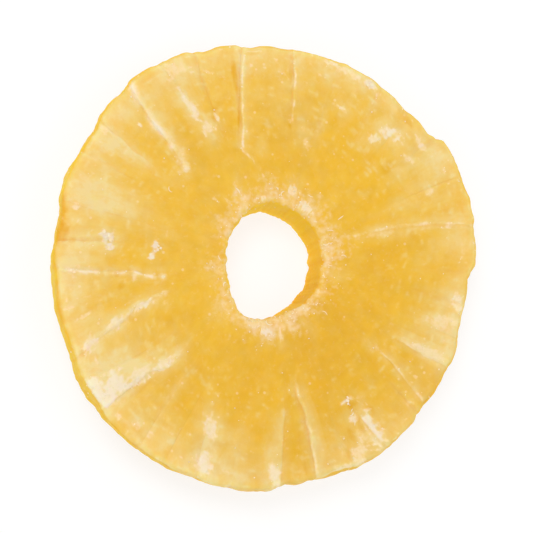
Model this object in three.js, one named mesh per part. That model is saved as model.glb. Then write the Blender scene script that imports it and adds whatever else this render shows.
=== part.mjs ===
// Candied and dried pineapple slice: one flat ring of flesh, lying on its underside.
// Millimetres and degrees, +Z up. Angles run anticlockwise from +X, seen from above.
// The origin is at the middle of the footprint, on the surface that the slice lies on.
import * as THREE from 'three';

// Driving dimensions
const ringLong = 79.5; // width of the oval that the fruitlets' outline follows, the long way
const ringShort = 74.6;
const ringLongAt = 78; // direction of the long way
const thickness = 9;
const holeMean = 8.95; // mean radius of the core hole
const holeOffset = [0.9, 0.33]; // the core was cut a little off the middle
const outerTopRound = 1; // radii of the four softened edges of the cross-section
const outerBottomRound = 1.7;
const holeTopRound = 1;
const holeBottomRound = 1.3;
const wallBulge = 0.3; // how far the outer wall swells at half height
const fruitletSwell = 0.15; // how far a fruitlet's outline swells between its two seams
const fruitletCrown = 0.18; // how far its top rises between them, near the edge
const outlineBlend = 3; // degrees over which one fruitlet's outline gives way to the next
const seamWidth = 1.5; // degrees
const restBand = [0.25, 0.78]; // share of the flesh, from the hole, where the underside stays flat

// The hole is no circle: waves round it, each one [crests round the hole, height, a crest's angle]
const holeWaves = [[2, 0.95, 74], [3, 0.47, 3], [4, 0.17, -16], [5, 0.23, 28]];

// The edge was cut on a slant, so that it leans inwards below: [middle of the place, half its width in
// degrees, how far the foot of the wall is set in]
const undercuts = [[205, 60, 0.8], [253, 26, 1.3]];

// The hole flares towards the shown face: the same three numbers for how far its upper rim is set back
const holeFlares = [[45, 60, 0.6], [315, 35, 1.2]];
const flareWidth = 4; // how far from the hole the flare dies out

// The seams between the fruitlets, in order round the slice. Each row gives the seam's angle at the
// edge, the degrees that it turns on its way in, the share of the flesh (from the hole) where it dies
// out, its depth, and how far the fruitlet after it stands out from the oval.
const seams = [
  [11.7, 8.5, 0.2, 0.05, 1.75],
  [25.3, 2, 0.6, 0.05, 1.85],
  [37.5, 0, 0.72, 0.05, 0],
  [47, -3, 0.62, 0.05, -0.35],
  [57, -3, 0.68, 0.05, -0.1],
  [70, 0, 0.4, 0.05, -0.5],
  [83.8, -7.5, 0.5, 0.1, -0.75],
  [95.2, 10.2, 0.24, 0.25, -0.15],
  [109.3, 2, 0.56, 0.1, 0.75],
  [119.3, -8, 0.5, 0.05, 1.2],
  [128.9, 6.5, 0.42, 0.15, 0.7],
  [141.5, 1.5, 0.52, 0.1, -0.3],
  [151, 0, 0.58, 0.05, -0.1],
  [165.5, 0, 0.5, 0.1, -0.9],
  [176.8, -3, 0.62, 0.2, -0.35],
  [184, 3.5, 0.3, 0.1, -0.6],
  [199, -4, 0.72, 0.1, -0.7],
  [208.3, -9, 0.34, 0.2, -0.35],
  [213.5, 8, 0.6, 0.05, -0.2],
  [223, 2, 0.42, 0.25, 0.4],
  [235.8, -2.5, 0.5, 0.05, 0.2],
  [243, 0, 0.72, 0.1, 0.15],
  [252, -5.5, 0.58, 0.15, 0],
  [261, 0, 0.72, 0.1, 0.1],
  [273.6, 4.5, 0.46, 0.15, -0.85],
  [283.8, 0, 0.2, 0.15, -0.7],
  [293.5, -2, 0.75, 0.1, 0.25],
  [304.5, -9, 0.62, 0.2, 0.2],
  [317, 1, 0.72, 0.1, -0.55],
  [319.8, 6, 0.5, 0.1, -0.3],
  [332, -3, 0.54, 0.15, 0.1],
  [340.7, 0, 0.62, 0.1, -0.45],
  [350.5, 2, 0.6, 0.05, -0.3],
  [359.5, 0, 0.66, 0.05, 1.25],
];

// Fineness of the faceted surface
const turnSteps = 144;
const topSteps = 9;
const wallSteps = 3;
const edgeSteps = 3;
const underSteps = 4;

const { degToRad, euclideanModulo, lerp, clamp } = THREE.MathUtils;
const smooth = (x) => THREE.MathUtils.smoothstep(x, 0, 1);
const wave = (angle) => Math.sin(degToRad(angle));
const angleBetween = (a, b) => euclideanModulo(a - b + 180, 360) - 180;

// The fruitlet that an angle falls in: the seams on its two sides and the share of the way across it.
// The angle is taken at the edge, because the seams turn on their way in.
function fruitletAt(edgeAngle) {
  const turned = euclideanModulo(edgeAngle - seams[0][0], 360) + seams[0][0];
  const index = seams.findLastIndex(([at]) => at <= turned);
  const before = seams[index];
  const after = seams[(index + 1) % seams.length];
  const width = euclideanModulo(after[0] - before[0], 360);
  return { before, after, earlier: seams.at(index - 1), across: (turned - before[0]) / width, width };
}

// Angle at which the line from a place on the edge, running in beside the seams, meets a share
function angleAt(edgeAngle, share) {
  const { before, after, across } = fruitletAt(edgeAngle);
  const inward = 0.75 * (1 - share ** 2);
  return edgeAngle + inward * lerp(before[1], after[1], across);
}

// Outline of the slice: an oval whose fruitlets stand out by different amounts, each one swelling
function outerRadius(edgeAngle) {
  const { before, after, earlier, across, width } = fruitletAt(edgeAngle);
  const fromSeam = (across * width) / outlineBlend;
  const toSeam = ((1 - across) * width) / outlineBlend;
  const neighbour = fromSeam < toSeam ? earlier[4] : after[4];
  const standOut = lerp((before[4] + neighbour) / 2, before[4], smooth(Math.min(fromSeam, toSeam)));
  const swell = fruitletSwell * Math.sin(Math.PI * across);
  const turned = degToRad(edgeAngle - ringLongAt);
  const oval = 0.5 / Math.hypot(Math.cos(turned) / ringLong, Math.sin(turned) / ringShort);
  return oval + standOut + swell;
}

// Edge of the core hole: a circle with waves, as the corer and the drying left it
function holeRadius(angle) {
  const height = ([crests, size, crestAt]) => size * Math.cos(degToRad(crests * (angle - crestAt)));
  return holeWaves.reduce((radius, row) => radius + height(row), holeMean);
}

// Height lost at the seams and gained on the fruitlets' crowns; share runs from the hole to the edge
function relief(edgeAngle, share) {
  const { before, after, across, width } = fruitletAt(edgeAngle);
  let height = fruitletCrown * Math.sin(Math.PI * across) * smooth((share - 0.45) / 0.4);
  for (const [seam, away] of [[before, across * width], [after, (1 - across) * width]]) {
    height -= seam[3] * smooth((share - seam[2]) / 0.25) * Math.exp(-((away / seamWidth) ** 2));
  }
  return height;
}

// Sum of the places of a list like undercuts or holeFlares at an angle, each one fading to its two sides
function placesAt(places, angle) {
  const fade = ([middle, half]) => Math.exp(-((angleBetween(angle, middle) / half) ** 2));
  return places.reduce((sum, row) => sum + row[2] * fade(row), 0);
}

// Slow unevenness of the shown face
function drift(edgeAngle, share) {
  const roll = 0.16 * wave(2 * edgeAngle + 40) + 0.1 * wave(5 * edgeAngle - 30);
  return roll * share - 0.25 * smooth((share - 0.6) / 0.4);
}

// Cross-section of the flesh between the hole and the edge, as [share, height] points
function crossSection(flesh) {
  const points = [];
  const arc = (radius, height, round, from) => {
    for (let k = 0; k <= edgeSteps; k++) {
      const turn = degToRad(from - (90 * k) / edgeSteps);
      points.push([radius + round * Math.cos(turn), height + round * Math.sin(turn)]);
    }
  };
  const run = (from, to, steps) => {
    for (let k = 1; k < steps; k++) {
      points.push([lerp(from[0], to[0], k / steps), lerp(from[1], to[1], k / steps)]);
    }
  };
  arc(holeTopRound, thickness - holeTopRound, holeTopRound, 180);
  run([holeTopRound, thickness], [flesh - outerTopRound, thickness], topSteps);
  arc(flesh - outerTopRound, thickness - outerTopRound, outerTopRound, 90);
  run([flesh, thickness - outerTopRound], [flesh, outerBottomRound], wallSteps);
  arc(flesh - outerBottomRound, outerBottomRound, outerBottomRound, 0);
  run([flesh - outerBottomRound, 0], [holeBottomRound, 0], underSteps);
  arc(holeBottomRound, holeBottomRound, holeBottomRound, -90);
  run([0, holeBottomRound], [0, thickness - holeTopRound], wallSteps);
  return points.map(([width, height]) => [width / flesh, height]);
}

// Place of one point of the cross-section at one place round the slice
function skinPoint(edgeAngle, share, height) {
  const angle = angleAt(edgeAngle, share);
  const level = height / thickness;
  const shown = (relief(edgeAngle, share) + drift(edgeAngle, share)) * smooth((level - 0.3) / 0.6);
  const offRest = smooth((share - restBand[1]) / 0.1) + smooth((restBand[0] - share) / 0.1);
  const hidden = Math.max(0, -0.6 * relief(edgeAngle, share)) * offRest * smooth((0.5 - level) / 0.5);
  const belly = wallBulge * Math.sin(Math.PI * level) - placesAt(undercuts, angle) * (1 - level);
  const wall = belly * smooth((share - 0.93) / 0.07) * smooth((1.02 - level) / 0.14);
  const plain = lerp(holeRadius(angle), outerRadius(edgeAngle), share);
  const fromHole = plain - holeRadius(angle);
  const flare = placesAt(holeFlares, angle) * smooth(level) * (1 - smooth(fromHole / flareWidth));
  const radius = plain + wall + flare;
  const holeShift = 1 - smooth(share); // the hole's offset dies out towards the edge
  const x = radius * Math.cos(degToRad(angle)) + holeOffset[0] * holeShift;
  const y = radius * Math.sin(degToRad(angle)) + holeOffset[1] * holeShift;
  return [x, y, height + shown + hidden];
}

// Skin of the ring: the cross-section carried once round, each one joined to the next
function ringGeometry() {
  const meanFlesh = (ringLong + ringShort) / 4 - holeMean;
  const section = crossSection(meanFlesh);
  const count = section.length;
  const positions = [];
  const indices = [];
  for (let step = 0; step < turnSteps; step++) {
    const next = (step + 1) % turnSteps;
    section.forEach(([share, height], k) => {
      const along = (k + 1) % count;
      positions.push(...skinPoint((360 * step) / turnSteps, clamp(share, 0, 1), height));
      indices.push(step * count + k, step * count + along, next * count + along);
      indices.push(step * count + k, next * count + along, next * count + k);
    });
  }
  const geometry = new THREE.BufferGeometry();
  geometry.setAttribute('position', new THREE.Float32BufferAttribute(positions, 3));
  geometry.setIndex(indices);
  geometry.computeBoundingBox();
  const { min, max } = geometry.boundingBox;
  geometry.translate(-(min.x + max.x) / 2, -(min.y + max.y) / 2, -min.z);
  geometry.computeVertexNormals();
  return geometry;
}

// Translucent golden flesh under its bloom of sugar
function candiedFlesh() {
  return new THREE.MeshStandardMaterial({ color: 0xedc065, roughness: 0.45, metalness: 0 });
}

function pineappleRing() {
  const ring = new THREE.Mesh(ringGeometry(), candiedFlesh());
  ring.name = 'pineapple_ring';
  return ring;
}

const slice = new THREE.Group();
slice.add(pineappleRing());

export default slice;
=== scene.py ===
import math

import bpy
import numpy as np
from mathutils import Matrix, Vector
from mathutils.bvhtree import BVHTree


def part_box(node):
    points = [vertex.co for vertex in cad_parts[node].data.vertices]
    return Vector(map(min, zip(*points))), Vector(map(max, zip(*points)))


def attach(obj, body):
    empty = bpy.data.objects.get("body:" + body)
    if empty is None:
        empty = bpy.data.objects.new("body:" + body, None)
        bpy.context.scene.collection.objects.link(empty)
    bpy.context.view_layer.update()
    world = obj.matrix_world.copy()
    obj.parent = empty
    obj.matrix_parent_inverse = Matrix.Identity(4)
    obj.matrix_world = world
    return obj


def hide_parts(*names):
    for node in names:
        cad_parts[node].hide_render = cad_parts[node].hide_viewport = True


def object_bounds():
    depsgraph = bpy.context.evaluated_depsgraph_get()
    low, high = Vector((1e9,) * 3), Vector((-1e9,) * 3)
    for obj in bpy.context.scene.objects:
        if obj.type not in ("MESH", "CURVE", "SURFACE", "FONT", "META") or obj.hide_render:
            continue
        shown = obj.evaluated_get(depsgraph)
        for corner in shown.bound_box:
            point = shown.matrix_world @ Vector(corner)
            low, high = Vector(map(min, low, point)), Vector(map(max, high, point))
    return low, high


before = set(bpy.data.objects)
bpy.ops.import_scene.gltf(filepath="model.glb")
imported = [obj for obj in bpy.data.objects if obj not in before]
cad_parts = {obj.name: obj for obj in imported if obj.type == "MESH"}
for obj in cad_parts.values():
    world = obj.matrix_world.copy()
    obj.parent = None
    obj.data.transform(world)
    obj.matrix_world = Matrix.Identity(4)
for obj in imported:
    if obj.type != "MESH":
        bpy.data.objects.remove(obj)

# a candied pineapple slice lying flat: its flesh, and the sugar crumbs and dried threads on it
# metres, +Z up; angles are degrees anticlockwise from +X, until they are used

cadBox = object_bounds()
nodeLow, nodeHigh = (np.array(corner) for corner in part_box("pineapple_ring"))
mm = 0.001


def smooth(x):
    x = np.clip(x, 0, 1)
    return x * x * (3 - 2 * x)


def bell(x):
    return np.exp(-x * x)


def angleBetween(angle, middle):    # from the second angle to the first the short way, -180 to 180
    return np.mod(angle - middle + 180, 360) - 180


def fromSrgb(red, green, blue):     # 0 to 255 as on a colour card, to the numbers a shader takes
    linear = [((c / 255 + 0.055) / 1.055) ** 2.4 if c > 10 else c / 255 / 12.92 for c in (red, green, blue)]
    return (*linear, 1)


def loopNoise(turn, across, roundCells, acrossCells, seed):
    # soft noise from -1 to 1 on the ring: it closes after a turn, and acrossCells spans 0 to 1
    grid = np.random.default_rng(seed).uniform(-1, 1, (roundCells, acrossCells + 3))
    u = np.mod(turn, 360) / 360 * roundCells
    v = np.clip(across, 0, 1) * acrossCells
    i, j = np.floor(u).astype(int), np.floor(v).astype(int)
    fu, fv = smooth(u - i), smooth(v - j)
    i0, i1 = i % roundCells, (i + 1) % roundCells
    near = grid[i0, j] * (1 - fu) + grid[i1, j] * fu
    far = grid[i0, j + 1] * (1 - fu) + grid[i1, j + 1] * fu
    return near * (1 - fv) + far * fv


# the flesh, in millimetres

slice_ = {
    "long": 79.5, "short": 74.6, "longAt": 78,          # the oval that the fruitlets' outline follows
    "holeMean": 8.95, "holeOffset": (0.9, 0.33),
    "holeWaves": ((2, 0.95, 74), (3, 0.47, 3), (4, 0.17, -16), (5, 0.23, 28)),     # crests, height, where
    "thick": 9,
    "swell": 0.15, "crown": 0.18,                       # how far a fruitlet bulges sideways, and upwards
    "outlineBlend": 2.2,                                # degrees over which one outline gives way to the next
    "topRound": 1.0, "bottomRound": 1.7, "holeTopRound": 1.0, "holeBottomRound": 1.3,
    "wallBulge": 0.3, "flareWidth": 4,
    # each place below is its middle and half its width in degrees, then how far it goes
    "holeFlares": ((45, 60, 0.6), (315, 35, 1.2)),      # where the hole widens upwards
    "undercuts": ((205, 60, 0.8), (253, 26, 1.3)),      # where the edge was cut on a slant, leaning in below
    "turnSteps": 960,                                   # copies of the cross-section round the ring
    "topCuts": 59, "wallCuts": 7, "underCuts": 11, "roundCuts": 3,
    "restBand": (0.25, 0.78),                           # share of the flesh where the underside is flat
}

# the seams between fruitlets, in order round the slice
#   at, bend      where it meets the edge, and how far it turns on its way to the hole, degrees
#   curl, curlAt  a further swing, degrees, and the share of the flesh where it happens
#   inner         share of the flesh, from the hole, where it dies out
#   groove        its depth, mm; lip and side: height of its raised side, and which side that is
#   white, wide   how much sugar lies along it, and that line's width, mm
#   glow          paleness that spreads from it: above 0 on the side of larger angles, below 0 on the other
#   out           how far the fruitlet after it stands out sideways, mm
#   lift, tilt    how far that fruitlet stands up, and how much more at its far side, mm
#   pale, reach   how milky that fruitlet is near the edge, and how far in from there, as a share
seamKeys = ("at", "bend", "curl", "curlAt", "inner", "groove", "lip", "side", "white", "wide", "glow",
            "out", "lift", "tilt", "pale", "reach")
seamRows = (
    (11.7, 8.5, 0, 0, 0.20, 0.03, 0.07, 1, 0.85, 0.34, 0.15, 1.75, 0.10, 0.05, 0.42, 0.50),
    (25.3, 2, 0, 0, 0.60, 0.04, 0.02, -1, 0.20, 0.30, 0.00, 1.85, 0.08, 0.10, 0.40, 0.55),
    (37.5, 0, 0, 0, 0.72, 0.05, 0.02, 1, 0.10, 0.40, 0.00, 0.00, 0.05, 0.00, 0.34, 0.39),
    (47, -3, 0, 0, 0.62, 0.05, 0.02, 1, 0.10, 0.50, 0.00, -0.35, 0.00, 0.10, 0.37, 0.45),
    (57, -3, 0, 0, 0.68, 0.05, 0.03, 1, 0.10, 0.40, 0.00, -0.10, 0.10, -0.10, 0.55, 0.42),
    (70, 0, 0, 0, 0.40, 0.04, 0.02, 1, 0.12, 0.30, 0.00, -0.50, 0.05, 0.10, 0.48, 0.42),
    (82.8, -4.2, 0, 0, 0.50, 0.07, 0.10, -1, 0.62, 0.32, -0.10, -0.75, 0.05, 0.15, 0.55, 0.45),
    (96.1, 9.2, 1.9, 0.45, 0.33, 0.14, 0.12, -1, 0.80, 0.40, -0.25, -0.15, 0.10, 0.05, 0.48, 0.45),
    (109.3, 2, 0, 0, 0.56, 0.07, 0.04, -1, 0.15, 0.30, 0.00, 0.75, 0.00, 0.10, 0.55, 0.48),
    (119.3, -8, 0, 0, 0.50, 0.05, 0.03, 1, 0.10, 0.50, 0.10, 1.20, 0.10, 0.20, 0.50, 0.45),
    (128.9, 5.6, 1.6, 0.48, 0.38, 0.02, 0.10, -1, 0.85, 0.95, -0.60, 0.70, 0.10, 0.10, 0.54, 0.38),
    (141.5, 1.5, 0, 0, 0.52, 0.04, 0.06, 1, 0.25, 0.50, 0.45, -0.30, 0.05, -0.05, 0.74, 0.42),
    (151, 0, 0, 0, 0.58, 0.03, 0.02, 1, 0.05, 0.50, 0.10, -0.10, 0.00, 0.00, 0.52, 0.48),
    (165.5, 0, 0, 0, 0.50, 0.04, 0.04, -1, 0.05, 0.50, -0.25, -0.90, 0.00, 0.00, 0.37, 0.50),
    (176.8, -3, 0, 0, 0.62, 0.10, 0.07, 1, 0.15, 0.40, 0.35, -0.35, 0.18, -0.10, 0.85, 0.36),
    (184, 5, 2.6, 0.50, 0.34, 0.04, 0.07, 1, 0.72, 0.56, 0.10, -0.60, 0.10, -0.05, 0.58, 0.44),
    (199, -4, 0, 0, 0.72, 0.05, 0.03, 1, 0.35, 0.40, 0.00, -0.70, 0.05, 0.10, 0.42, 0.40),
    (208.3, -9, -3, 0.60, 0.34, 0.04, 0.03, -1, 0.42, 1.00, -0.25, -0.35, 0.00, -0.05, 0.50, 0.50),
    (213.5, 8, 0, 0, 0.60, 0.05, 0.02, 1, 0.05, 0.60, 0.00, -0.20, 0.12, 0.12, 0.80, 0.60),
    (223, 2, 4, 0.60, 0.42, 0.05, 0.02, -1, 0.20, 0.60, -0.50, 0.40, -0.04, 0.08, 0.43, 0.38),
    (235.8, -2.5, 0, 0, 0.50, 0.05, 0.04, 1, 0.25, 0.28, 0.05, 0.20, 0.05, 0.10, 0.47, 0.38),
    (243, 0, 0, 0, 0.72, 0.06, 0.03, 1, 0.05, 0.50, 0.00, 0.15, 0.05, 0.10, 0.46, 0.38),
    (252, -5.5, 0, 0, 0.58, 0.04, 0.06, 1, 0.15, 0.45, 0.50, 0.00, 0.12, -0.10, 0.56, 0.44),
    (261, 0, 0, 0, 0.72, 0.06, 0.03, 1, 0.12, 0.40, 0.00, 0.10, 0.05, 0.15, 0.52, 0.41),
    (273.6, 4.5, 0, 0, 0.46, 0.04, 0.04, -1, 0.12, 0.60, -0.35, -0.85, -0.05, 0.05, 0.04, 0.34),
    (283.6, 0.4, -1.6, 0.58, 0.36, 0.06, 0.14, 1, 0.52, 0.40, 0.45, -0.70, 0.10, -0.10, 0.34, 0.42),
    (293.5, -2, 0, 0, 0.75, 0.06, 0.03, -1, 0.10, 0.50, 0.00, 0.25, 0.00, 0.15, 0.39, 0.38),
    (304.5, -9, 0, 0, 0.62, 0.08, 0.08, 1, 0.20, 0.40, 0.15, 0.20, 0.10, -0.10, 0.34, 0.38),
    (317, 1, 0, 0, 0.72, 0.07, 0.03, 1, 0.05, 0.40, 0.00, -0.55, 0.00, 0.00, 0.27, 0.30),
    (319.8, 6, 0, 0, 0.50, 0.05, 0.07, 1, 0.50, 0.40, 0.30, -0.30, 0.05, 0.05, 0.26, 0.30),
    (332, -3, 0, 0, 0.54, 0.06, 0.08, 1, 0.50, 0.45, 0.75, 0.10, 0.14, -0.10, 0.62, 0.42),
    (340.7, 0, 0, 0, 0.62, 0.05, 0.04, -1, 0.15, 0.45, 0.15, -0.45, 0.00, 0.05, 0.46, 0.40),
    (350.5, 2, 0, 0, 0.60, 0.05, 0.03, 1, 0.15, 0.40, 0.00, -0.30, 0.05, 0.00, 0.40, 0.42),
    (359.5, 0, 0, 0, 0.66, 0.05, 0.03, 1, 0.10, 0.40, 0.00, 1.25, 0.05, 0.00, 0.40, 0.45),
)
seams = {key: np.array([row[k] for row in seamRows], float) for k, key in enumerate(seamKeys)}
seamCount = len(seamRows)

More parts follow.
